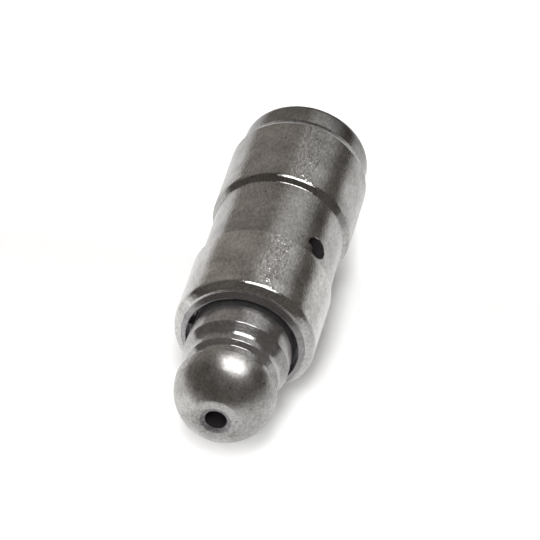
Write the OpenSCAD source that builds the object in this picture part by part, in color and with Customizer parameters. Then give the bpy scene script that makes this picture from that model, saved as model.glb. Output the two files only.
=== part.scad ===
// Pivot type hydraulic valve lifter: a cup shaped body, a ball headed plunger
// that slides in it, and the check valve and springs that the body hides.
// The lifter stands on its closed end, with its axis along +Z.

/* [Body] */
// Diameter of the two guide lands
land_d = 12; // [11:0.1:14]
// Height of the reduced tail at the closed end
tail_h = 2.45; // [1.2:0.05:4]
// Radial step from the lands down to the tail
tail_step = 0.5; // [0.2:0.05:0.9]
// Rounding of the closed end
tail_round = 0.8; // [0.3:0.05:1.2]
// Length of the lead-in taper between the tail and the lower land
lead_h = 1.15; // [0.5:0.05:2]
// Length of the lower guide land
lower_land_h = 7; // [5:0.1:9]
// Length of the bevel between the lower land and the oil waist
waist_bevel_h = 0.55; // [0.3:0.05:1]
// Length of the oil waist, without its bevel
waist_h = 6.95; // [5:0.05:9]
// Radial depth of the oil waist
waist_depth = 0.38; // [0.2:0.02:0.6]
// Length of the upper guide land
upper_land_h = 6.75; // [5:0.05:9]
// Thickness of the closed end
floor_t = 2.6; // [1.5:0.1:3.5]

/* [Mouth] */
// Length of the bevel outside the mouth
nose_h = 0.47; // [0.2:0.01:0.8]
// Radial width of the flat ledge between the bevel and the rim
ledge_w = 0.17; // [0.08:0.01:0.3]
// Radial width of the rim around the mouth
rim_w = 0.52; // [0.3:0.02:0.7]
// Height of the rim's slope up to the bore
rim_h = 0.5; // [0.2:0.02:0.8]
// Diameter of the plunger bore
bore_d = 9.5; // [9:0.05:10]

/* [Feed hole] */
// Diameter of the oil feed hole in the waist
feed_d = 2; // [1:0.1:2.4]
// Distance of the feed hole's centre below the upper land
feed_drop = 1.67; // [1.2:0.01:3]
// Direction of the feed hole around the axis
feed_azimuth = 232.5; // [0:0.5:359.5]

/* [Plunger] */
// Distance that the plunger can be pressed in
travel = 3.5; // [2:0.1:3.6]
// Radial step from the plunger's skirt in to its neck
shoulder_w = 0.295; // [0.25:0.005:0.45]
// Length of neck that stands out of the mouth
neck_h = 2.16; // [1:0.02:3]
// Radial step from the neck in to the collar
neck_step = 0.49; // [0.3:0.01:0.6]
// Length of the slope from the neck to the collar
neck_slope_h = 0.98; // [0.6:0.02:1.4]
// Rounding of the hollow between that slope and the collar
neck_hollow = 1.1; // [0.3:0.05:1.5]
// Length of the collar under the head
collar_h = 0.7; // [0.5:0.05:1.6]
// Radial depth of the undercut between the collar and the head
undercut_depth = 0.36; // [0.2:0.02:0.5]
// Width of the undercut behind the head
undercut_h = 1.85; // [1.3:0.01:2.4]
// Radial depth of the oil groove around the skirt
oil_groove_depth = 0.4; // [0.2:0.05:0.6]
// Distance that the oil groove reaches past the feed hole's edges
oil_groove_margin = 0.2; // [0.1:0.05:0.6]
// Wall between the oil groove and the reservoir
skirt_wall = 1.3; // [0.8:0.05:1.6]
// Wall between the undercut and the reservoir
head_wall = 1.05; // [0.7:0.05:1.4]
// Diameter of the cross hole from the oil groove to the reservoir
cross_d = 1.6; // [0.8:0.1:2.2]
// Direction of the cross hole around the axis
cross_azimuth = 54; // [0:1:359]

/* [Head] */
// Diameter of the ball head
head_d = 8.56; // [7.8:0.02:9.4]
// Height of the ball's centre above the back edge of the head
head_back = 0.16; // [0:0.02:1]
// Radius at which the flat of the tip meets the ball, before the edge is rounded
tip_flat_r = 2; // [1.7:0.05:2.6]
// Rounding of the edge between the flat of the tip and the ball
tip_round = 0.6; // [0.2:0.1:1.4]
// Diameter of the oil hole through the tip
tip_hole_d = 1.86; // [1:0.02:2.2]
// Radial width of the countersink around the oil hole
tip_sink_w = 0.4; // [0.1:0.02:0.5]
// Depth of the countersink around the oil hole
tip_sink_h = 0.18; // [0.1:0.02:0.6]

/* [Valve] */
// Height of the pressure chamber under the lower plunger
chamber_h = 6.8; // [6.4:0.05:8]
// Length of the lower plunger
lower_plunger_h = 3.5; // [2.8:0.05:4.5]
// Depth of the recess that takes the ball cage
recess_h = 0.5; // [0.35:0.05:0.7]
// Radius of the recess that takes the ball cage
recess_r = 3.65; // [3.4:0.05:4.1]
// Thickness of the web that carries the valve seat
seat_web = 1.1; // [0.9:0.05:1.5]
// Diameter of the check ball
ball_d = 2.5; // [2.2:0.05:2.8]
// Diameter of the valve hole
valve_d = 1.5; // [1:0.05:1.6]
// Sheet thickness of the ball cage's flange
cage_flange_t = 0.3; // [0.2:0.02:0.4]
// Sheet thickness of the ball cage's cup
cage_t = 0.25; // [0.15:0.01:0.3]
// Distance that the check ball lifts off its seat
ball_lift = 0.3; // [0.15:0.05:0.4]
// Width of the oil windows in the ball cage
cage_window_w = 1.1; // [0.6:0.05:1.4]
// Distance of the windows from both ends of the cage's wide part
cage_window_margin = 0.2; // [0.1:0.05:0.4]
// Number of oil windows in the ball cage
cage_windows = 3; // [2:1:4]

/* [Springs] */
// Wire diameter of the return spring
return_wire_d = 0.66; // [0.5:0.02:0.7]
// Turns of the return spring
return_turns = 4.75; // [4:0.25:5]
// Wire diameter of the ball spring
ball_wire_d = 0.18; // [0.12:0.01:0.2]
// Turns of the ball spring
ball_turns = 4; // [3:0.25:4.5]
// Mean radius of the ball spring
ball_spring_r = 0.75; // [0.6:0.01:0.85]
// Length of the ball spring with the valve shut
ball_spring_h = 1.4; // [1.2:0.05:2]

/* [Retaining ring] */
// Height of the retaining ring
ring_h = 0.6; // [0.4:0.05:0.8]
// Radial width of the retaining ring
ring_w = 0.8; // [0.6:0.05:0.95]
// Distance of the retaining ring's top below the mouth
ring_depth = 1.27; // [1.05:0.01:2]
// Opening between the ends of the retaining ring
ring_gap = 1.6; // [0.8:0.1:3]

/* [Fits] */
// Radial clearance of the plunger in its bore
plunger_clear = 0.025; // [0.01:0.005:0.05]
// Radial clearance of the ring around the neck and in its groove
ring_clear = 0.05; // [0.03:0.01:0.08]
// Clearance of the cage's flange in its recess
cage_clear = 0.03; // [0.01:0.01:0.05]
// Radial clearance of the check ball in its cage
ball_clear = 0.3; // [0.15:0.05:0.4]
// Distance of the check ball from its seat, and from its stop when it is open
seat_gap = 0.02; // [0.01:0.01:0.05]
// Radial clearance of the ball spring in its pocket
pocket_clear = 0.1; // [0.05:0.01:0.15]
// Distance of the springs' ends from their seats
spring_gap = 0.02; // [0.01:0.01:0.05]

/* [Edges] */
// Rounding of the lands' edges towards the mouth
land_round = 0.7; // [0.2:0.05:0.8]
// Rounding of the body's other broken edges
edge_round = 0.25; // [0.1:0.05:0.4]
// Rounding of the plunger's turned steps
step_round = 0.16; // [0.1:0.02:0.3]
// Rounding of fine edges
fine_round = 0.08; // [0.04:0.02:0.12]

/* [Hidden] */
$fn = 96;

// Straight pieces in each rounded corner of a profile
corner_steps = 5;
// Sides of a spring's wire, and rings in each of its turns
wire_sides = 8;
turn_steps = 26;
// Turns at each end of a spring that lie closed, and their pitch in wire diameters
closed_turns = 0.9;
closed_pitch = 1.04;
// How far a cut runs past the face that it opens
past = 0.5;

// Body heights, from the closed end up
lower_land_z = tail_h + lead_h;
waist_bevel_z = lower_land_z + lower_land_h;
waist_z = waist_bevel_z + waist_bevel_h;
upper_land_z = waist_z + waist_h;
nose_z = upper_land_z + upper_land_h;
ledge_z = nose_z + nose_h;
mouth_z = ledge_z + rim_h;
feed_z = upper_land_z - feed_drop;

// Body radii
land_r = land_d / 2;
tail_r = land_r - tail_step;
waist_r = land_r - waist_depth;
bore_r = bore_d / 2;
rim_r = bore_r + rim_w;
ledge_r = rim_r + ledge_w;

// Retaining ring and its groove
ring_top_z = mouth_z - ring_depth;
ring_z = ring_top_z - ring_h;
ring_groove_z = ring_z - ring_clear;

// Plunger radii
skirt_r = bore_r - plunger_clear;
neck_r = skirt_r - shoulder_w;
ring_inner_r = neck_r + ring_clear;
ring_outer_r = ring_inner_r + ring_w;
ring_groove_r = ring_outer_r + ring_clear;
collar_r = neck_r - neck_step;
undercut_r = collar_r - undercut_depth;
oil_groove_r = skirt_r - oil_groove_depth;
reservoir_r = oil_groove_r - skirt_wall;
head_bore_r = undercut_r - head_wall;

// Plunger heights, with the plunger pushed out against the ring
shoulder_z = ring_z;
neck_z = mouth_z + neck_h;
collar_z = neck_z + neck_slope_h;
undercut_z = collar_z + collar_h;
head_back_z = undercut_z + undercut_h;
head_r = head_d / 2;
head_z = head_back_z + head_back;
head_back_r = sqrt(head_r * head_r - head_back * head_back);
tip_z = head_z + sqrt(head_r * head_r - tip_flat_r * tip_flat_r);
tip_hole_r = tip_hole_d / 2;
// Centre of the arc that touches both the ball and the flat tip, and the angle at which it leaves the ball
tip_arc_z = tip_z - tip_round;
tip_arc_r = sqrt(pow(head_r - tip_round, 2) - pow(tip_arc_z - head_z, 2));
tip_arc_angle = atan2(tip_arc_z - head_z, tip_arc_r);
oil_groove_z = feed_z - feed_d / 2 - oil_groove_margin;
oil_groove_top_z = feed_z + feed_d / 2 + travel + oil_groove_margin;
// The reservoir narrows at the neck and ends in a drill point below the head
reservoir_top_z = shoulder_z;
head_bore_z = reservoir_top_z + reservoir_r - head_bore_r;
drill_point_z = undercut_z - collar_h / 2;
passage_z = drill_point_z + head_bore_r - tip_hole_r;

// Valve heights, from the chamber's floor up
lower_plunger_z = floor_t + chamber_h;
recess_z = lower_plunger_z + recess_h;
split_z = lower_plunger_z + lower_plunger_h;
seat_top_z = recess_z + seat_web;
ball_r = ball_d / 2;
valve_r = valve_d / 2;
// The seat is a square cone that opens downwards, and the ball touches it on a circle
seat_mouth_r = ball_r + fine_round;
seat_apex_z = recess_z + seat_mouth_r;
ball_z = seat_apex_z - (ball_r + seat_gap) * sqrt(2);

// Ball spring, from the ball down to the cage's floor
ball_wire_r = ball_wire_d / 2;
ball_reach = ball_r + ball_wire_r + spring_gap;
ball_spring_top_z = ball_z - sqrt(ball_reach * ball_reach - ball_spring_r * ball_spring_r) + ball_wire_r;
ball_spring_z = ball_spring_top_z - ball_spring_h;

// Ball cage: a wide part around the ball, and a narrow pocket for the spring,
// whose edge stops the ball when it is fully open
cage_inner_r = ball_r + ball_clear;
cage_outer_r = cage_inner_r + cage_t;
pocket_r = ball_spring_r + ball_wire_r + pocket_clear;
stop_reach = ball_r + seat_gap;
cage_stop_z = ball_z - ball_lift - sqrt(stop_reach * stop_reach - pocket_r * pocket_r);
cage_floor_z = ball_spring_z - spring_gap;
cage_z = cage_floor_z - cage_t;
cage_flange_z = recess_z - cage_flange_t;
cage_flange_r = recess_r - cage_clear;
cage_vent_r = ball_spring_r - ball_wire_d;

// Return spring, between the chamber's floor and the cage's flange
return_wire_r = return_wire_d / 2;
return_spring_r = cage_flange_r - return_wire_r;
return_spring_z = floor_t + spring_gap;
return_spring_top_z = cage_flange_z - spring_gap;

// Direction from point a to point b, and the distance between them
function span(a, b) = norm([b[0] - a[0], b[1] - a[1]]);
function toward(a, b) = [b[0] - a[0], b[1] - a[1]] / span(a, b);

// Arc that rounds the corner b between a and c, kept within half of each side
function corner(a, b, c) =
    let (
        u = toward(b, a),
        v = toward(b, c),
        half = acos(u * v) / 2,
        reach = min(b[2] / tan(half), span(a, b) / 2.1, span(b, c) / 2.1),
        radius = reach * tan(half),
        bisector = (u + v) / norm(u + v),
        centre = [b[0], b[1]] + bisector * radius / sin(half),
        start = [b[0], b[1]] + u * reach - centre,
        end = [b[0], b[1]] + v * reach - centre,
        sweep = 180 - 2 * half,
        turn = sign(start[0] * end[1] - start[1] * end[0])
    )
    [for (i = [0:corner_steps])
        let (t = turn * sweep * i / corner_steps)
        centre + [start[0] * cos(t) - start[1] * sin(t), start[0] * sin(t) + start[1] * cos(t)]];

// Profile points [radius, height, rounding] with every rounded corner turned into an arc
function rounded(points) =
    let (n = len(points))
    [for (i = [0:n - 1])
        each points[i][2] > 0
            ? corner(points[(i + n - 1) % n], points[i], points[(i + 1) % n])
            : [[points[i][0], points[i][1]]]];

// Points of the arc between the ball and the flat tip
function tip_point(i) =
    let (angle = tip_arc_angle + (90 - tip_arc_angle) * i / corner_steps)
    [tip_arc_r + tip_round * cos(angle), tip_arc_z + tip_round * sin(angle)];

// Outline of the tip's edge: the arc, with its first chord run on outwards past the ball
function tip_edge() = concat([2 * tip_point(0) - tip_point(1)], [for (i = [1:corner_steps]) tip_point(i)]);

// Height of a spring's wire after a number of turns: closed at both ends, open between
function coil_height(turn, turns, wire_d, rise) =
    let (
        closed_rise = closed_turns * wire_d * closed_pitch,
        open_pitch = (rise - 2 * closed_rise) / (turns - 2 * closed_turns)
    )
    turn < closed_turns ? turn * wire_d * closed_pitch
    : turn > turns - closed_turns ? rise - (turns - turn) * wire_d * closed_pitch
    : closed_rise + (turn - closed_turns) * open_pitch;

// Coil spring between two heights
module coil(mean_r, wire_d, turns, z0, z1) {
    rise = z1 - z0 - wire_d;
    wire_r = wire_d / 2;
    rings = round(turns * turn_steps);
    points = [for (i = [0:rings])
        let (
            turn = turns * i / rings,
            angle = 360 * turn,
            height = z0 + wire_r + coil_height(turn, turns, wire_d, rise)
        )
        for (k = [0:wire_sides - 1])
            let (
                side = 360 * k / wire_sides,
                radius = mean_r + wire_r * cos(side)
            )
            [radius * cos(angle), radius * sin(angle), height + wire_r * sin(side)]];
    sides = [for (i = [0:rings - 1])
        for (k = [0:wire_sides - 1])
            let (next = (k + 1) % wire_sides)
            [i * wire_sides + k, (i + 1) * wire_sides + k,
             (i + 1) * wire_sides + next, i * wire_sides + next]];
    first = [for (k = [0:wire_sides - 1]) k];
    last = [for (k = [wire_sides - 1:-1:0]) rings * wire_sides + k];
    polyhedron(points, concat(sides, [first, last]), convexity = 10);
}

// Round hole from the axis outwards, at one height and direction
module radial_hole(diameter, height, azimuth) {
    translate([0, 0, height])
        rotate([0, 0, azimuth])
            rotate([0, 90, 0])
                cylinder(d = diameter, h = land_r + past);
}

// Cup shaped body: tail, two guide lands with the oil waist between them, and the bevelled, stepped mouth
module body() {
    color([0.52, 0.51, 0.48])
        difference() {
            rotate_extrude()
                polygon(rounded([
                    [0, 0, 0],
                    [tail_r, 0, tail_round],
                    [tail_r, tail_h, edge_round],
                    [land_r, lower_land_z, edge_round],
                    [land_r, waist_bevel_z, land_round],
                    [waist_r, waist_z, edge_round],
                    [waist_r, upper_land_z, fine_round],
                    [land_r, upper_land_z, fine_round],
                    [land_r, nose_z, land_round],
                    [ledge_r, ledge_z, fine_round],
                    [rim_r, ledge_z, fine_round],
                    [bore_r, mouth_z, fine_round],
                    [bore_r, ring_top_z, 0],
                    [ring_groove_r, ring_top_z, 0],
                    [ring_groove_r, ring_groove_z, 0],
                    [bore_r, ring_groove_z, 0],
                    [bore_r, floor_t, edge_round],
                    [0, floor_t, 0]
                ]));
            radial_hole(feed_d, feed_z, feed_azimuth);
        }
}

// Plunger with the ball head: skirt with its oil groove, shoulder, neck, collar, undercut and head
module upper_plunger() {
    color([0.6, 0.59, 0.56])
        difference() {
            rotate_extrude()
                difference() {
                    union() {
                        polygon(rounded([
                            [0, split_z, 0],
                            [skirt_r, split_z, fine_round],
                            [skirt_r, oil_groove_z, fine_round],
                            [oil_groove_r, oil_groove_z + oil_groove_depth, fine_round],
                            [oil_groove_r, oil_groove_top_z - oil_groove_depth, fine_round],
                            [skirt_r, oil_groove_top_z, fine_round],
                            [skirt_r, shoulder_z, 0],
                            [neck_r, shoulder_z, 0],
                            [neck_r, neck_z, step_round],
                            [collar_r, collar_z, neck_hollow],
                            [collar_r, undercut_z, step_round],
                            [undercut_r, undercut_z + undercut_depth, step_round],
                            [undercut_r, head_back_z - undercut_depth, step_round],
                            [head_back_r, head_back_z, 0],
                            [0, head_back_z, 0]
                        ]));
                        intersection() {
                            translate([0, head_z])
                                circle(r = head_r);
                            polygon(concat(
                                [[0, head_back_z],
                                 [head_r + past, head_back_z],
                                 [head_r + past, tip_edge()[0][1]]],
                                tip_edge(),
                                [[0, tip_z]]
                            ));
                        }
                    }
                    polygon([
                        [0, split_z - past],
                        [reservoir_r, split_z - past],
                        [reservoir_r, reservoir_top_z],
                        [head_bore_r, head_bore_z],
                        [head_bore_r, drill_point_z],
                        [tip_hole_r, passage_z],
                        [tip_hole_r, tip_z - tip_sink_h],
                        [tip_hole_r + tip_sink_w, tip_z],
                        [tip_hole_r + tip_sink_w, tip_z + past],
                        [0, tip_z + past]
                    ]);
                }
            radial_hole(cross_d, (oil_groove_z + oil_groove_top_z) / 2, cross_azimuth);
        }
}

// Lower plunger: a short piston that closes the reservoir and carries the valve seat
module lower_plunger() {
    color([0.56, 0.55, 0.53])
        rotate_extrude()
            polygon(rounded([
                [valve_r, seat_apex_z - valve_r, 0],
                [seat_mouth_r, recess_z, 0],
                [recess_r, recess_z, 0],
                [recess_r, lower_plunger_z, fine_round],
                [skirt_r, lower_plunger_z, fine_round],
                [skirt_r, split_z, fine_round],
                [reservoir_r, split_z, fine_round],
                [reservoir_r, seat_top_z, edge_round],
                [valve_r, seat_top_z, 0]
            ]));
}

// Stamped cage that holds the check ball and its spring: a flanged, stepped cup with oil windows
module ball_cage() {
    color([0.62, 0.6, 0.55])
        difference() {
            rotate_extrude()
                polygon([
                    [cage_vent_r, cage_z],
                    [pocket_r + cage_t, cage_z],
                    [pocket_r + cage_t, cage_stop_z - cage_t],
                    [cage_outer_r, cage_stop_z - cage_t],
                    [cage_outer_r, cage_flange_z],
                    [cage_flange_r, cage_flange_z],
                    [cage_flange_r, recess_z],
                    [cage_inner_r, recess_z],
                    [cage_inner_r, cage_stop_z],
                    [pocket_r, cage_stop_z],
                    [pocket_r, cage_floor_z],
                    [cage_vent_r, cage_floor_z]
                ]);
            for (i = [0:cage_windows - 1])
                rotate([0, 0, 360 * i / cage_windows])
                    translate([0, -cage_window_w / 2, cage_stop_z + cage_window_margin])
                        cube([cage_outer_r + past, cage_window_w,
                              cage_flange_z - cage_stop_z - 2 * cage_window_margin]);
        }
}

// Check ball, shut against its seat
module check_ball() {
    color([0.75, 0.75, 0.76])
        translate([0, 0, ball_z])
            sphere(r = ball_r);
}

// Fine spring that holds the check ball on its seat
module ball_spring() {
    color([0.5, 0.5, 0.5])
        coil(ball_spring_r, ball_wire_d, ball_turns, ball_spring_z, ball_spring_top_z);
}

// Spring in the pressure chamber that pushes the plunger out
module return_spring() {
    color([0.42, 0.42, 0.43])
        coil(return_spring_r, return_wire_d, return_turns, return_spring_z, return_spring_top_z);
}

// Split ring in the mouth's groove that stops the plunger's shoulder
module retaining_ring() {
    color([0.35, 0.35, 0.36])
        difference() {
            rotate_extrude()
                translate([ring_inner_r, ring_z])
                    square([ring_w, ring_h]);
            translate([0, -ring_gap / 2, ring_z - past])
                cube([ring_outer_r + past, ring_gap, ring_h + 2 * past]);
        }
}

body();
upper_plunger();
lower_plunger();
ball_cage();
check_ball();
ball_spring();
return_spring();
retaining_ring();
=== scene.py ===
"""Looks of the hydraulic valve lifter: fine meshes for the pieces that show, steel finishes,
a white table, soft light and the photograph's camera. Lengths are in millimetres until they reach
a mesh."""

import math

import bmesh
import bpy
from mathutils import Matrix, Vector


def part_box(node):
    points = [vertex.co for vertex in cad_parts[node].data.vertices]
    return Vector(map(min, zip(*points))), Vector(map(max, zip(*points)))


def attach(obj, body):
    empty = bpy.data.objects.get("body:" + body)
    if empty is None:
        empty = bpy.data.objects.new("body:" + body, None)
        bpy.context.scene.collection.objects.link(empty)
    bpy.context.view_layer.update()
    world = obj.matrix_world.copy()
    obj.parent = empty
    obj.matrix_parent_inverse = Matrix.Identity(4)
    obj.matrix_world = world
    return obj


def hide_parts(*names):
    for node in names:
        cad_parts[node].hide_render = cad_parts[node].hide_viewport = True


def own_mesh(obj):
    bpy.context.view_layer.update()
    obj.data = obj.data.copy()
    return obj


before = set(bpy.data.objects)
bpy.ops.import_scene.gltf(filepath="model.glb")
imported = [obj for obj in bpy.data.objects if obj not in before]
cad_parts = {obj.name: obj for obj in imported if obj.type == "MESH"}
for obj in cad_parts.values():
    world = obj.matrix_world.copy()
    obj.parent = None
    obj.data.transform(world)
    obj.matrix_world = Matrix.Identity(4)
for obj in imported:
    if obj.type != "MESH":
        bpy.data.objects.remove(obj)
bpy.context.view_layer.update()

MM = 0.001

# Fineness of the meshes
SEGMENTS = 256
CORNER_STEPS = 8
ROW_STEP = 0.4
WIRE_SIDES = 14
TURN_STEPS = 40
HEAD_STEPS = 40
ON_AXIS = 1e-6
SHARP_ANGLE = math.radians(32)

# A rounding takes at most one part in so many of the edges beside it
CORNER_ROOM = 2.1

# Play in telling which surface a face belongs to
HAIR = 0.001
PLAY = 0.01

# Body, from the closed end up
LAND_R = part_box("body")[1].x / MM
TAIL_R = LAND_R - 0.5
TAIL_H = 2.45
TAIL_ROUND = 0.8
LOWER_LAND_Z = TAIL_H + 1.15
WAIST_BEVEL_Z = LOWER_LAND_Z + 7.0
WAIST_Z = WAIST_BEVEL_Z + 0.55
WAIST_R = LAND_R - 0.38
UPPER_LAND_Z = WAIST_Z + 6.95
NOSE_Z = UPPER_LAND_Z + 6.75
LEDGE_Z = NOSE_Z + 0.47
MOUTH_Z = LEDGE_Z + 0.5
BORE_R = 4.75
LIP_R = BORE_R + 0.52
LEDGE_R = LIP_R + 0.17
FLOOR_Z = 2.6
RING_PLAY = 0.05
RING_GROOVE_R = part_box("retaining_ring")[1].y / MM + RING_PLAY
RING_TOP_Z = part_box("retaining_ring")[1].z / MM
RING_GROOVE_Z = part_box("retaining_ring")[0].z / MM - RING_PLAY
EDGE_ROUND = 0.25
LAND_ROUND = 0.7
FINE_ROUND = 0.08

# Feed hole in the waist
FEED_R = 1.0
FEED_Z = UPPER_LAND_Z - 1.67
FEED_AZIMUTH = math.radians(232.5)
FEED_FLARE = 0.05

# Upper plunger, from its lower end up, a hair clear of the lower plunger
SKIRT_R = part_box("upper_plunger")[1].x / MM
SPLIT_GAP = 0.01
SPLIT_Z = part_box("upper_plunger")[0].z / MM + SPLIT_GAP
TIP_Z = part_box("upper_plunger")[1].z / MM
SHOULDER_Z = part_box("retaining_ring")[0].z / MM
OIL_GROOVE_DEPTH = 0.4
OIL_GROOVE_R = SKIRT_R - OIL_GROOVE_DEPTH
OIL_GROOVE_MARGIN = 0.2
STROKE = 3.5
OIL_GROOVE_Z = FEED_Z - FEED_R - OIL_GROOVE_MARGIN
OIL_GROOVE_TOP_Z = FEED_Z + FEED_R + STROKE + OIL_GROOVE_MARGIN
NECK_R = SKIRT_R - 0.295
NECK_Z = MOUTH_Z + 2.16
COLLAR_R = NECK_R - 0.49
COLLAR_Z = NECK_Z + 0.98
UNDERCUT_Z = COLLAR_Z + 0.7
UNDERCUT_DEPTH = 0.36
UNDERCUT_R = COLLAR_R - UNDERCUT_DEPTH
HEAD_BACK_Z = UNDERCUT_Z + 1.85
HEAD_R = 4.28
HEAD_Z = HEAD_BACK_Z + 0.16
TIP_ROUND = 0.6
STEP_ROUND = 0.16
NECK_HOLLOW = 1.1
RESERVOIR_R = OIL_GROOVE_R - 1.3
HEAD_BORE_R = UNDERCUT_R - 1.05
HEAD_BORE_Z = SHOULDER_Z + RESERVOIR_R - HEAD_BORE_R
DRILL_POINT_Z = UNDERCUT_Z - 0.35
TIP_HOLE_R = 0.93
PASSAGE_Z = DRILL_POINT_Z + HEAD_BORE_R - TIP_HOLE_R
TIP_SINK_R = TIP_HOLE_R + 0.4
TIP_SINK_Z = TIP_Z - 0.18
CROSS_R = 0.8
CROSS_Z = (OIL_GROOVE_Z + OIL_GROOVE_TOP_Z) / 2
CROSS_AZIMUTH = math.radians(54)

# Springs
RETURN_WIRE_R = 0.33
RETURN_TURNS = 4.75
BALL_WIRE_R = 0.09
BALL_TURNS = 4.0
CLOSED_TURNS = 0.9
CLOSED_PITCH = 1.04


def corner_arc(before, corner, after):
    """Points of the arc that rounds one corner of an outline of (radius, height, rounding)."""
    b = Vector(corner[:2])
    u = Vector(before[:2]) - b
    v = Vector(after[:2]) - b
    room = min(u.length, v.length) / CORNER_ROOM
    u.normalize()
    v.normalize()
    half = u.angle(v) / 2
    reach = min(corner[2] / math.tan(half), room)
    centre = b + (u + v).normalized() * reach / math.cos(half)
    start = b + u * reach - centre
    end = b + v * reach - centre
    turn = start.angle_signed(end)
    points = []
    for i in range(CORNER_STEPS + 1):
        angle = -turn * i / CORNER_STEPS
        points.append(centre + Matrix.Rotation(angle, 2) @ start)
    return points


def rounded(outline):
    """Outline of (radius, height, rounding) with its corners rounded, as plain points."""
    points = []
    for i, corner in enumerate(outline):
        if corner[2] > 0:
            points += corner_arc(outline[i - 1], corner, outline[(i + 1) % len(outline)])
        else:
            points.append(Vector(corner[:2]))
    return points


def arc(centre, radius, start, end, steps):
    """Points of an arc of an outline between two angles above the horizontal."""
    angles = [start + (end - start) * i / steps for i in range(steps + 1)]
    return [Vector((centre[0] + radius * math.cos(a), centre[1] + radius * math.sin(a))) for a in angles]


def head_outline():
    """Ball head from its back edge up, with a soft edge around the flat tip."""
    blend_z = TIP_Z - TIP_ROUND
    blend_r = math.sqrt((HEAD_R - TIP_ROUND) ** 2 - (blend_z - HEAD_Z) ** 2)
    blend_angle = math.atan2(blend_z - HEAD_Z, blend_r)
    back_angle = math.asin((HEAD_BACK_Z - HEAD_Z) / HEAD_R)
    ball = arc((0, HEAD_Z), HEAD_R, back_angle, blend_angle, HEAD_STEPS)
    edge = arc((blend_r, blend_z), TIP_ROUND, blend_angle, math.pi / 2, CORNER_STEPS)
    return ball + edge[1:]


def with_rows(points):
    """Outline with its long straight stretches split, so that the lathed faces stay small."""
    dense = []
    for i, start in enumerate(points):
        end = points[(i + 1) % len(points)]
        on_axis = start.x < ON_AXIS and end.x < ON_AXIS
        count = 1 if on_axis else max(1, math.ceil((end - start).length / ROW_STEP))
        dense += [start.lerp(end, k / count) for k in range(count)]
    return dense


def finish_mesh(name, bm):
    """Object made from a bmesh in millimetres, with smooth faces and sharp edges at real corners."""
    bmesh.ops.recalc_face_normals(bm, faces=bm.faces)
    bmesh.ops.scale(bm, vec=(MM, MM, MM), verts=bm.verts)
    mesh = bpy.data.meshes.new(name)
    bm.to_mesh(mesh)
    bm.free()
    mesh.shade_smooth()
    mesh.set_sharp_from_angle(angle=SHARP_ANGLE)
    piece = bpy.data.objects.new(name, mesh)
    bpy.context.scene.collection.objects.link(piece)
    return piece


def lathe(name, points):
    """Solid turned around the Z axis from a closed outline."""
    bm = bmesh.new()
    rings = []
    for r, z in with_rows(points):
        if r < ON_AXIS:
            rings.append([bm.verts.new((0, 0, z))])
            continue
        angles = [2 * math.pi * i / SEGMENTS for i in range(SEGMENTS)]
        rings.append([bm.verts.new((r * math.cos(a), r * math.sin(a), z)) for a in angles])
    for ring, above in zip(rings, rings[1:] + rings[:1]):
        if len(ring) == 1 and len(above) == 1:
            continue
        for i in range(SEGMENTS):
            j = (i + 1) % SEGMENTS
            if len(ring) == 1:
                bm.faces.new((ring[0], above[j], above[i]))
            elif len(above) == 1:
                bm.faces.new((ring[i], ring[j], above[0]))
            else:
                bm.faces.new((ring[i], ring[j], above[j], above[i]))
    return finish_mesh(name, bm)


def cut(piece, cutter):
    """Cuts one object out of another and removes the cutter."""
    modifier = piece.modifiers.new("cut", "BOOLEAN")
    modifier.operation = "DIFFERENCE"
    modifier.solver = "EXACT"
    modifier.object = cutter
    graph = bpy.context.evaluated_depsgraph_get()
    mesh = bpy.data.meshes.new_from_object(piece.evaluated_get(graph))
    piece.modifiers.clear()
    piece.data = mesh
    mesh.name = piece.name
    mesh.shade_smooth()
    mesh.set_sharp_from_angle(angle=SHARP_ANGLE)
    bpy.data.objects.remove(cutter)


def radial_drill(radius, length, height, azimuth, flare_at=None, flare=0.0):
    """Drill that points outwards from the axis. An optional flare breaks the hole's outer edge."""
    outline = [Vector((0, 0)), Vector((radius, 0))]
    if flare_at is not None:
        outline += [Vector((radius, flare_at - flare)), Vector((radius + 2 * flare, flare_at + flare))]
        outline += [Vector((radius + 2 * flare, length)), Vector((0, length))]
    else:
        outline += [Vector((radius, length)), Vector((0, length))]
    drill = lathe("drill", outline)
    drill.rotation_euler = (0, math.pi / 2, azimuth)
    drill.location.z = height * MM
    bpy.context.view_layer.update()
    return drill


def coil(name, mean_r, wire_r, turns, z0, z1):
    """Coil spring between two heights, with closed end turns."""
    bm = bmesh.new()
    closed_rise = CLOSED_TURNS * 2 * wire_r * CLOSED_PITCH
    rise = z1 - z0 - 2 * wire_r
    open_pitch = (rise - 2 * closed_rise) / (turns - 2 * CLOSED_TURNS)
    count = round(turns * TURN_STEPS)
    rings = []
    for i in range(count + 1):
        turn = turns * i / count
        left = turns - turn
        if turn < CLOSED_TURNS:
            height = turn * 2 * wire_r * CLOSED_PITCH
        elif left < CLOSED_TURNS:
            height = rise - left * 2 * wire_r * CLOSED_PITCH
        else:
            height = closed_rise + (turn - CLOSED_TURNS) * open_pitch
        ring = []
        for k in range(WIRE_SIDES):
            side = 2 * math.pi * k / WIRE_SIDES
            r = mean_r + wire_r * math.cos(side)
            z = z0 + wire_r + height + wire_r * math.sin(side)
            angle = 2 * math.pi * turn
            ring.append(bm.verts.new((r * math.cos(angle), r * math.sin(angle), z)))
        rings.append(ring)
    for ring, above in zip(rings, rings[1:]):
        for k in range(WIRE_SIDES):
            n = (k + 1) % WIRE_SIDES
            bm.faces.new((ring[k], ring[n], above[n], above[k]))
    bm.faces.new(rings[0])
    bm.faces.new(rings[-1])
    return finish_mesh(name, bm)


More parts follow.
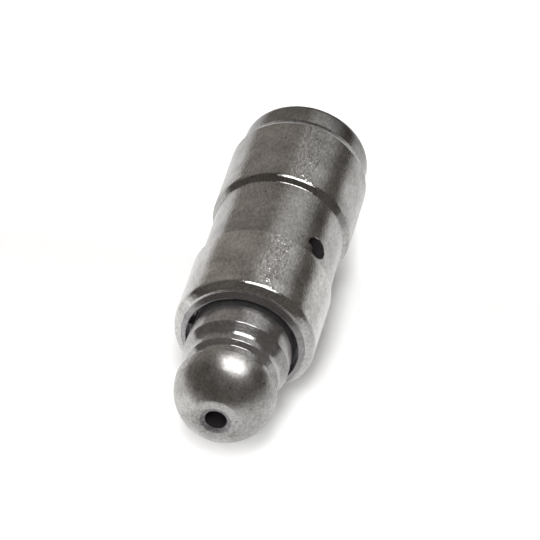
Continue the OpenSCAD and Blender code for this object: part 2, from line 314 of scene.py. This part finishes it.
def paint(piece, materials, choose):
    """Gives a piece several materials: choose(radius, height, centre) picks one for each face."""
    piece.data.materials.clear()
    for material in materials:
        piece.data.materials.append(material)
    for face in piece.data.polygons:
        centre = face.center / MM
        face.material_index = choose(centre.xy.length, centre.z, centre)


def add(tree, kind, inputs=None, **settings):
    """Shader node with its settings made and its inputs set to values or linked to sockets."""
    node = tree.nodes.new(kind)
    for key, value in settings.items():
        setattr(node, key, value)
    for key, value in (inputs or {}).items():
        if isinstance(value, bpy.types.NodeSocket):
            tree.links.new(value, node.inputs[key])
        else:
            node.inputs[key].default_value = value
    return node


def maths(tree, operation, *values):
    """Result of an operation on one, two or three values."""
    return add(tree, "ShaderNodeMath", dict(enumerate(values)), operation=operation).outputs[0]


def dot(tree, first, second):
    """Dot product of two vectors."""
    node = add(tree, "ShaderNodeVectorMath", {0: first, 1: second}, operation="DOT_PRODUCT")
    return node.outputs["Value"]


def shaded(tree, colour, share):
    """Colour dimmed to a share of itself."""
    return add(tree, "ShaderNodeVectorMath", {0: colour, "Scale": share}, operation="SCALE").outputs[0]


def new_material(name):
    """Empty node material and its tree."""
    material = bpy.data.materials.new(name)
    material.use_nodes = True
    material.node_tree.nodes.clear()
    return material, material.node_tree


def scaled_position(tree, per_mm):
    """Position on the object in steps of a texture, so many to the millimetre along each axis."""
    coordinates = add(tree, "ShaderNodeTexCoord").outputs["Object"]
    scale = [n / MM for n in per_mm]
    return add(tree, "ShaderNodeVectorMath", {0: coordinates, 1: scale}, operation="MULTIPLY").outputs[0]


def noise(tree, per_mm, detail=3.0, roughness=0.55):
    """Noise from 0 to 1 with so many features to the millimetre along each axis."""
    place = scaled_position(tree, per_mm)
    inputs = {"Vector": place, "Scale": 1.0, "Detail": detail, "Roughness": roughness}
    return add(tree, "ShaderNodeTexNoise", inputs).outputs["Fac"]


def remap(tree, value, low, high, to_low, to_high):
    """Value stretched from one range to another, and held there."""
    inputs = {"Value": value, "From Min": low, "From Max": high, "To Min": to_low, "To Max": to_high}
    return add(tree, "ShaderNodeMapRange", inputs).outputs["Result"]


def remap_mm(tree, length, span, levels):
    """Level that changes with a length, over a span in millimetres."""
    return remap(tree, length, span[0] * MM, span[1] * MM, *levels)


def mix_colours(tree, factor, first, second):
    """Colour between two colours."""
    node = add(tree, "ShaderNodeMix", data_type="RGBA")
    tree.links.new(factor, node.inputs[0])
    node.inputs[6].default_value = (*first, 1)
    node.inputs[7].default_value = (*second, 1)
    return node.outputs[2]


def bump(tree, height, depth, normal=None):
    """Normal bent by a height from 0 to 1 that stands for a depth in millimetres."""
    inputs = {"Height": height, "Strength": 1.0, "Distance": depth * MM}
    if normal is not None:
        inputs["Normal"] = normal
    return add(tree, "ShaderNodeBump", inputs).outputs["Normal"]


# Steel: features to the millimetre along each axis, and the spans and levels of its tone
CLOUDS_PER_MM = (0.45, 0.45, 0.45)
GRAIN_PER_MM = (5.0, 5.0, 2.5)
LINES_PER_MM = (0.1, 0.1, 8.0)
PITS_PER_MM = (0.8, 0.8, 0.8)
FLECKS_PER_MM = (3.0, 3.0, 1.8)
FILM_PER_MM = (0.8, 0.8, 0.8)
NOISE_SPAN = (0.3, 0.7)
CLOUD_SHARE = 0.65
TONE_SPAN = (0.61, 1.04)
PIT_SPAN = (0.03, 0.12)
PIT_SHADE = 0.5
PIT_DEPTH = 0.01
# Painted shade on the body steel: darker below the upper land, darker still towards the closed end
WAIST_SHADE = 0.8
WAIST_FADE = 0.2
TAIL_SHADE = 0.55
TAIL_FADE = (1.0, 5.0)
# Bores: dark for oil, and darkened further as painted shade inside the holes
BORE_DARK = (0.022, 0.019, 0.022)
BORE_PALE = (0.055, 0.048, 0.053)
BORE_POLISH = (0.35, 0.6)
BORE_METAL = 0.4

# Track of wear along the body: its direction, its width as cosines of the angle from it, its depth,
# and the slope of the faces over which it ends
TRACK_WAY = (-0.08, -0.997, 0)
TRACK_EDGE = 0.976
TRACK_MIDDLE = 0.9995
TRACK_DEPTH = 0.14
TRACK_SLOPE = (0.05, 0.3)


def painted_shade_to_tail(tree, colour):
    """Painted shade: colour darkened below the upper land, and more towards the closed end."""
    place = add(tree, "ShaderNodeTexCoord").outputs["Object"]
    height = add(tree, "ShaderNodeSeparateXYZ", {0: place}).outputs["Z"]
    waist = remap_mm(tree, height, (UPPER_LAND_Z - WAIST_FADE, UPPER_LAND_Z), (WAIST_SHADE, 1.0))
    tail = remap_mm(tree, height, TAIL_FADE, (TAIL_SHADE, 1.0))
    share = maths(tree, "MULTIPLY", waist, tail)
    return shaded(tree, colour, share)


def worn_track(tree, normal):
    """Normal roughened along a track down the body's straight sides, which glitters there."""
    place = scaled_position(tree, (1 / LAND_R, 1 / LAND_R, 0))
    facing = dot(tree, place, TRACK_WAY)
    track = remap(tree, facing, TRACK_EDGE, TRACK_MIDDLE, 0.0, 1.0)
    outward = add(tree, "ShaderNodeTexCoord").outputs["Normal"]
    slope = add(tree, "ShaderNodeSeparateXYZ", {0: outward}).outputs["Z"]
    steep = maths(tree, "ABSOLUTE", slope)
    straight = remap(tree, steep, *TRACK_SLOPE, 1.0, 0.0)
    track = maths(tree, "MULTIPLY", track, straight)
    flecks = remap(tree, noise(tree, FLECKS_PER_MM, 2.0, 0.6), 0.0, 1.0, -0.5, 0.5)
    height = maths(tree, "MULTIPLY", flecks, track)
    return bump(tree, height, TRACK_DEPTH, normal)


def steel(name, pale, dark, smooth, rough, line_depth, grain_depth, worn_and_shaded=False, metal=1.0):
    """Steel with a cloudy and grainy tone, lines turned around the axis, and a few dark pits. Worn and
    shaded steel has painted shade below the upper land, deeper towards the closed end, and a rough track."""
    material, tree = new_material(name)
    clouds = noise(tree, CLOUDS_PER_MM)
    grain = noise(tree, GRAIN_PER_MM, 4.0, 0.75)
    lines = noise(tree, LINES_PER_MM, 3.0, 0.6)
    pit_place = scaled_position(tree, PITS_PER_MM)
    cells = add(tree, "ShaderNodeTexVoronoi", {"Vector": pit_place, "Scale": 1.0})
    pits = remap(tree, cells.outputs["Distance"], *PIT_SPAN, PIT_SHADE, 1.0)
    tone = maths(tree, "MULTIPLY_ADD", clouds, CLOUD_SHARE, grain)
    tone = remap(tree, tone, *TONE_SPAN, 0.0, 1.0)
    colour = mix_colours(tree, tone, dark, pale)
    colour = shaded(tree, colour, pits)
    # Painted shade below the upper land and towards the closed end
    if worn_and_shaded:
        colour = painted_shade_to_tail(tree, colour)
    polish = remap(tree, clouds, *NOISE_SPAN, smooth, rough)
    normal = bump(tree, lines, line_depth)
    normal = bump(tree, grain, grain_depth, normal)
    normal = bump(tree, pits, PIT_DEPTH, normal)
    if worn_and_shaded:
        normal = worn_track(tree, normal)
    inputs = {"Base Color": colour, "Metallic": metal, "Roughness": polish, "Normal": normal}
    shader = add(tree, "ShaderNodeBsdfPrincipled", inputs)
    add(tree, "ShaderNodeOutputMaterial", {"Surface": shader.outputs[0]})
    return material


def oily_and_shaded_bore(name):
    """Steel of the bores and passages, dark for oil and darkened further as painted shade in the holes."""
    material, tree = new_material(name)
    film = noise(tree, FILM_PER_MM)
    colour = mix_colours(tree, film, BORE_DARK, BORE_PALE)
    gloss = remap(tree, film, *NOISE_SPAN, *BORE_POLISH)
    inputs = {"Base Color": colour, "Metallic": BORE_METAL, "Roughness": gloss}
    shader = add(tree, "ShaderNodeBsdfPrincipled", inputs)
    add(tree, "ShaderNodeOutputMaterial", {"Surface": shader.outputs[0]})
    return material


body_steel = steel("body_steel", (0.74, 0.73, 0.72), (0.34, 0.33, 0.32), 0.05, 0.11, 0.002, 0.014, True)
plunger_steel = steel("plunger_steel", (0.66, 0.65, 0.64), (0.28, 0.27, 0.26), 0.27, 0.36, 0.001, 0.014)
neck_steel = steel("neck_steel", (0.56, 0.55, 0.55), (0.26, 0.25, 0.25), 0.1, 0.18, 0.004, 0.006, metal=0.92)
# The lip steel is a darker copy of the body steel: painted shade on the mouth's inner lip
shaded_lip_steel = steel("shaded_lip_steel", (0.4, 0.385, 0.39), (0.18, 0.17, 0.175), 0.16, 0.26, 0.002, 0.006, metal=0.95)
sink_steel = steel("sink_steel", (0.46, 0.45, 0.46), (0.16, 0.155, 0.16), 0.4, 0.55, 0.001, 0.02)
sheet_steel = steel("sheet_steel", (0.6, 0.57, 0.5), (0.48, 0.45, 0.4), 0.22, 0.3, 0.001, 0.002)
ball_steel = steel("ball_steel", (0.7, 0.7, 0.71), (0.6, 0.6, 0.61), 0.08, 0.12, 0.0002, 0.0004)
spring_steel = steel("spring_steel", (0.42, 0.42, 0.43), (0.3, 0.3, 0.31), 0.24, 0.34, 0.001, 0.002)
ring_steel = steel("ring_steel", (0.32, 0.32, 0.33), (0.2, 0.2, 0.21), 0.28, 0.4, 0.001, 0.002)
bore_steel = oily_and_shaded_bore("bore_steel")


def make_body():
    """Cup shaped body with its feed hole."""
    piece = lathe("body_shell", rounded([
        (0, 0, 0),
        (TAIL_R, 0, TAIL_ROUND),
        (TAIL_R, TAIL_H, EDGE_ROUND),
        (LAND_R, LOWER_LAND_Z, EDGE_ROUND),
        (LAND_R, WAIST_BEVEL_Z, LAND_ROUND),
        (WAIST_R, WAIST_Z, EDGE_ROUND),
        (WAIST_R, UPPER_LAND_Z, FINE_ROUND),
        (LAND_R, UPPER_LAND_Z, FINE_ROUND),
        (LAND_R, NOSE_Z, LAND_ROUND),
        (LEDGE_R, LEDGE_Z, FINE_ROUND),
        (LIP_R, LEDGE_Z, FINE_ROUND),
        (BORE_R, MOUTH_Z, FINE_ROUND),
        (BORE_R, RING_TOP_Z, 0),
        (RING_GROOVE_R, RING_TOP_Z, 0),
        (RING_GROOVE_R, RING_GROOVE_Z, 0),
        (BORE_R, RING_GROOVE_Z, 0),
        (BORE_R, FLOOR_Z, EDGE_ROUND),
        (0, FLOOR_Z, 0),
    ]))
    cut(piece, radial_drill(FEED_R, LAND_R + 1, FEED_Z, FEED_AZIMUTH, WAIST_R, FEED_FLARE))
    feed_way = Vector((math.cos(FEED_AZIMUTH), math.sin(FEED_AZIMUTH), 0))

    def choose(radius, height, centre):
        from_feed = (centre - Vector((0, 0, FEED_Z))).cross(feed_way).length
        in_feed = from_feed < FEED_R + PLAY and centre.dot(feed_way) > 0
        in_cup = radius < BORE_R + HAIR and FLOOR_Z - PLAY < height < RING_TOP_Z
        in_groove = radius < RING_GROOVE_R + PLAY and RING_GROOVE_Z - PLAY < height < RING_TOP_Z + PLAY
        if in_feed or in_cup or in_groove:
            return 1
        # The mouth's inner lip gets the darker steel as painted shade
        return 2 if height > RING_TOP_Z and radius < LIP_R else 0

    paint(piece, [body_steel, bore_steel, shaded_lip_steel], choose)
    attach(piece, "housing")
    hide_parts("body")


def make_upper_plunger():
    """Ball headed plunger with its neck, undercut, oil passage and cross hole."""
    outside = rounded([
        (RESERVOIR_R, SPLIT_Z, 0),
        (SKIRT_R, SPLIT_Z, FINE_ROUND),
        (SKIRT_R, OIL_GROOVE_Z, FINE_ROUND),
        (OIL_GROOVE_R, OIL_GROOVE_Z + OIL_GROOVE_DEPTH, FINE_ROUND),
        (OIL_GROOVE_R, OIL_GROOVE_TOP_Z - OIL_GROOVE_DEPTH, FINE_ROUND),
        (SKIRT_R, OIL_GROOVE_TOP_Z, FINE_ROUND),
        (SKIRT_R, SHOULDER_Z, 0),
        (NECK_R, SHOULDER_Z, 0),
        (NECK_R, NECK_Z, STEP_ROUND),
        (COLLAR_R, COLLAR_Z, NECK_HOLLOW),
        (COLLAR_R, UNDERCUT_Z, STEP_ROUND),
        (UNDERCUT_R, UNDERCUT_Z + UNDERCUT_DEPTH, STEP_ROUND),
        (UNDERCUT_R, HEAD_BACK_Z - UNDERCUT_DEPTH, STEP_ROUND),
        (math.sqrt(HEAD_R ** 2 - (HEAD_Z - HEAD_BACK_Z) ** 2), HEAD_BACK_Z, 0),
    ])
    head = head_outline()
    inside = [
        (TIP_SINK_R, TIP_Z),
        (TIP_HOLE_R, TIP_SINK_Z),
        (TIP_HOLE_R, PASSAGE_Z),
        (HEAD_BORE_R, DRILL_POINT_Z),
        (HEAD_BORE_R, HEAD_BORE_Z),
        (RESERVOIR_R, SHOULDER_Z),
    ]
    piece = lathe("ball_head_plunger", outside + head[1:] + [Vector(p) for p in inside])
    cut(piece, radial_drill(CROSS_R, LAND_R, CROSS_Z, CROSS_AZIMUTH))

    def choose(radius, height, centre):
        in_passage = radius < TIP_HOLE_R + HAIR
        in_reservoir = radius < RESERVOIR_R + HAIR and height < DRILL_POINT_Z + HEAD_BORE_R
        if in_passage or in_reservoir and height > SPLIT_Z + PLAY:
            return 1
        if radius < TIP_SINK_R and height > TIP_SINK_Z:
            return 2
        return 3 if height < HEAD_BACK_Z - 2 * PLAY else 0

    paint(piece, [plunger_steel, bore_steel, sink_steel, neck_steel], choose)
    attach(piece, "head")
    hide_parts("upper_plunger")


def make_spring(name, node, body, wire_r, turns):
    """Coil spring in the place of its solid."""
    low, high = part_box(node)
    piece = coil(name, high.x / MM - wire_r, wire_r, turns, low.z / MM, high.z / MM)
    piece.data.materials.append(spring_steel)
    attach(piece, body)
    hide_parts(node)
    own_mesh(piece)


def finish_inner_pieces():
    """Steel finishes on the inner pieces, whose solids stay as they are."""
    finishes = {
        "lower_plunger": (plunger_steel, "plunger_steel"),
        "ball_cage": (sheet_steel, "sheet_steel"),
        "check_ball": (ball_steel, "ball_steel"),
        "retaining_ring": (ring_steel, "ring_steel"),
    }
    for node, (material, slot) in finishes.items():
        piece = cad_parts[node]
        piece.data.materials.clear()
        piece.data.materials.append(material)


make_body()
make_upper_plunger()
make_spring("return_coil", "return_spring", "housing",
            RETURN_WIRE_R, RETURN_TURNS)
make_spring("ball_coil", "ball_spring", "piston",
            BALL_WIRE_R, BALL_TURNS)
finish_inner_pieces()

# Stage: the table that the lifter lies against in the photograph, and the floor that it stands on
TABLE_TURN = math.radians(14)
TABLE_FACING = Vector((math.sin(TABLE_TURN), -math.cos(TABLE_TURN), 0))
TABLE_SIZE = 600
FLOOR_SIZE = 600
FIBRE_PER_MM = (0.5, 0.5, 0.5)
PAPER_DARK = (0.83, 0.83, 0.83)
PAPER_PALE = (0.88, 0.88, 0.88)
TABLE_GLOW = 0.17
FLOOR_GLOW = 0.62
CORNER_GLOW = 1.0
CORNER_SPAN = (0, 9)
SEAM_SPAN = (0, 5)
SEAM_SIDE = (-6.0, -4.5)
FAR_GLOW = 0.5
FAR_SPAN = (24, 35)
# Paper glow shown only in the steel: painted light, stronger towards +X
MIRRORED_SPAN = (-60, 250)
MIRRORED_GLOW = (0.04, 0.55)
# Painted shadow on the paper to the right of the head, seen only in the steel
MIRRORED_SHADOW_SPAN = (-45, -27)
MIRRORED_SHADOW = (-0.35, 0.0)


def plane(name, size, matrix):
    """Square sheet of the stage."""
    bm = bmesh.new()
    bmesh.ops.create_grid(bm, x_segments=1, y_segments=1, size=size * MM / 2)
    mesh = bpy.data.meshes.new(name)
    bm.to_mesh(mesh)
    bm.free()
    sheet = bpy.data.objects.new(name, mesh)
    sheet.matrix_world = matrix
    bpy.context.scene.collection.objects.link(sheet)
    return sheet


def from_table(tree, place):
    """Distance of a place from the table's plane."""
    ahead = maths(tree, "ADD", dot(tree, place, TABLE_FACING), LAND_R * MM)
    return maths(tree, "ABSOLUTE", ahead)


def table_glow(tree, axes):
    """Glow of the table, that rises at the floor and past the lifter's tip: painted light over the shadows
    there.
    """
    corner = remap_mm(tree, axes["Z"], CORNER_SPAN, (CORNER_GLOW, TABLE_GLOW))
    far = remap_mm(tree, axes["Z"], FAR_SPAN, (TABLE_GLOW, FAR_GLOW))
    return maths(tree, "MAXIMUM", corner, far)


def floor_glow(tree, place, axes):
    """Glow of the floor, that rises beside the lifter at the table: painted light over the shadow there, so
    that their corner doesn't show.
    """
    near = remap_mm(tree, from_table(tree, place), SEAM_SPAN, (1.0, 0.0))
    beside = remap_mm(tree, axes["X"], SEAM_SIDE, (1.0, 0.0))
    return remap(tree, maths(tree, "MULTIPLY", near, beside), 0.0, 1.0, FLOOR_GLOW, CORNER_GLOW)


def paper_colour(tree, glossy, axes):
    """Fibrous white, with a painted shadow to the right of the head that shows only in the steel."""
    colour = mix_colours(tree, noise(tree, FIBRE_PER_MM, 4.0), PAPER_DARK, PAPER_PALE)
    painted_shadow = remap_mm(tree, maths(tree, "SUBTRACT", axes["X"], axes["Z"]), MIRRORED_SHADOW_SPAN, MIRRORED_SHADOW)
    return shaded(tree, colour, maths(tree, "MULTIPLY_ADD", glossy, painted_shadow, 1.0))


def white_paper(name, is_table):
    """Paper that keeps its shadows, and glows enough to show white. Mirrored in the steel, it glows with a
    painted light that fades towards the right. The table isn't there from behind."""
    material, tree = new_material(name)
    light = add(tree, "ShaderNodeLightPath").outputs
    place = add(tree, "ShaderNodeNewGeometry").outputs["Position"]
    axes = add(tree, "ShaderNodeSeparateXYZ", {0: place}).outputs
    colour = paper_colour(tree, light["Is Glossy Ray"], axes)
    paper = add(tree, "ShaderNodeBsdfDiffuse", {"Color": colour}).outputs[0]
    glow = table_glow(tree, axes) if is_table else floor_glow(tree, place, axes)
    mirrored = remap_mm(tree, axes["X"], MIRRORED_SPAN, MIRRORED_GLOW)
    mirrored = maths(tree, "MULTIPLY", light["Is Glossy Ray"], mirrored)
    seen = maths(tree, "ADD", light["Is Camera Ray"], light["Is Transmission Ray"])
    strength = maths(tree, "MULTIPLY_ADD", seen, glow, mirrored)
    glowing = add(tree, "ShaderNodeEmission", {"Strength": strength}).outputs[0]
    surface = add(tree, "ShaderNodeAddShader", {0: paper, 1: glowing}).outputs[0]
    if is_table:
        behind = add(tree, "ShaderNodeNewGeometry").outputs["Backfacing"]
        clear = add(tree, "ShaderNodeBsdfTransparent").outputs[0]
        surface = add(tree, "ShaderNodeMixShader", {0: behind, 1: surface, 2: clear}).outputs[0]
    add(tree, "ShaderNodeOutputMaterial", {"Surface": surface})
    return material


def make_stage():
    """Table behind the lifter, touching its lands, and the floor under it."""
    turn = TABLE_FACING.to_track_quat("Z", "Y").to_matrix().to_4x4()
    table = plane("table", TABLE_SIZE, Matrix.Translation(-TABLE_FACING * LAND_R * MM) @ turn)
    table.data.materials.append(white_paper("table_paper", True))
    table.visible_shadow = False
    floor = plane("floor", FLOOR_SIZE, Matrix.Identity(4))
    floor.data.materials.append(white_paper("floor_paper", False))
    floor.visible_shadow = False
    floor.visible_glossy = False
    floor.visible_diffuse = False


# Light: a soft lamp over the table that shows in the steel, a fill from the head's side that lights the
# paper, and a dim room with a window beyond the closed end
LAMP_CENTRE = Vector((0, 0, 16))
KEY_WAY = Vector((0.015, -0.98, -0.2))
KEY_DISTANCE = 260
KEY_SIZE = (175, 120)
KEY_POWER = 0.4
FILL_WAY = Vector((0.16, -0.83, 0.62))
FILL_DISTANCE = 300
FILL_SIZE = (90, 260)
FILL_POWER = 1.08
ROOM_COLOUR = (1, 0.92, 0.84, 1)
ROOM_LEAN = (-0.36, 0, 1)
ROOM_SPAN = (-0.96, -0.5)
ROOM_DARK = 0.12
ROOM_PALE = 0.34
NADIR_SPAN = (-1.0, -0.85)
NADIR_SHARE = 0.35
WINDOW_WAY = Vector((-0.19, -0.655, -0.73)).normalized()
WINDOW_COLOUR = (0.98, 1, 1, 1)
WINDOW_LEVEL = 0.5
WINDOW_EDGE = 0.91


def facing_object(way, distance):
    """Matrix of a lamp in a direction from the object, turned to face it."""
    way = way.normalized()
    turn = way.to_track_quat("Z", "X").to_matrix().to_4x4()
    return Matrix.Translation((LAMP_CENTRE + way * distance) * MM) @ turn


def area_lamp(name, way, distance, size, power):
    """Soft rectangular lamp that faces the object."""
    lamp = bpy.data.lights.new(name, "AREA")
    lamp.shape = "RECTANGLE"
    lamp.size = size[1] * MM
    lamp.size_y = size[0] * MM
    lamp.energy = power
    holder = bpy.data.objects.new(name, lamp)
    holder.matrix_world = facing_object(way, distance)
    bpy.context.scene.collection.objects.link(holder)
    return holder


def make_room():
    """Dim room around the lifter, paler beyond its closed end, with a soft window there."""
    world = bpy.data.worlds.new("room")
    world.use_nodes = True
    tree = world.node_tree
    tree.nodes.clear()
    way = add(tree, "ShaderNodeTexCoord").outputs["Generated"]
    lean = dot(tree, way, ROOM_LEAN)
    level = remap(tree, lean, *ROOM_SPAN, ROOM_PALE, ROOM_DARK)
    height = add(tree, "ShaderNodeSeparateXYZ", {0: way}).outputs["Z"]
    below = remap(tree, height, *NADIR_SPAN, NADIR_SHARE, 1.0)
    level = maths(tree, "MULTIPLY", level, below)
    near = dot(tree, way, WINDOW_WAY)
    window = remap(tree, near, WINDOW_EDGE, 1.0, 0.0, WINDOW_LEVEL)
    room_light = add(tree, "ShaderNodeBackground", {"Color": ROOM_COLOUR, "Strength": level}).outputs[0]
    window_inputs = {"Color": WINDOW_COLOUR, "Strength": window}
    window_light = add(tree, "ShaderNodeBackground", window_inputs).outputs[0]
    both = add(tree, "ShaderNodeAddShader", {0: room_light, 1: window_light}).outputs[0]
    add(tree, "ShaderNodeOutputWorld", {"Surface": both})
    bpy.context.scene.world = world


def make_light():
    """Lamps and the room's light. The key shows in the steel, and the fill lights the table."""
    key = area_lamp("key", KEY_WAY, KEY_DISTANCE, KEY_SIZE, KEY_POWER)
    key.visible_diffuse = False
    fill = area_lamp("fill", FILL_WAY, FILL_DISTANCE, FILL_SIZE, FILL_POWER)
    fill.visible_glossy = False
    make_room()


# Camera at the photograph's angle: it looks down on the head, and is rolled with the lifter's lean
CAMERA_AIM = Vector((-0.26, 0, 15.98))
CAMERA_DISTANCE = 379.7
CAMERA_ELEVATION = math.radians(47.94)
CAMERA_ROLL = math.radians(198.73)
CAMERA_LENS = 300
CAMERA_CLIP = (0.01, 10)


def make_camera():
    """Long lens, straight towards the aim point."""
    forward = Vector((0, math.cos(CAMERA_ELEVATION), -math.sin(CAMERA_ELEVATION)))
    level_right = Vector((1, 0, 0))
    level_up = level_right.cross(forward)
    right = level_right * math.cos(CAMERA_ROLL) + level_up * math.sin(CAMERA_ROLL)
    up = right.cross(forward)
    camera = bpy.data.cameras.new("camera")
    camera.lens = CAMERA_LENS
    camera.clip_start, camera.clip_end = CAMERA_CLIP
    holder = bpy.data.objects.new("camera", camera)
    turn = Matrix((right, up, -forward)).transposed().to_4x4()
    holder.matrix_world = Matrix.Translation((CAMERA_AIM - forward * CAMERA_DISTANCE) * MM) @ turn
    bpy.context.scene.collection.objects.link(holder)
    bpy.context.scene.camera = holder


make_stage()
make_light()
make_camera()
bpy.context.scene.view_settings.view_transform = "Standard"
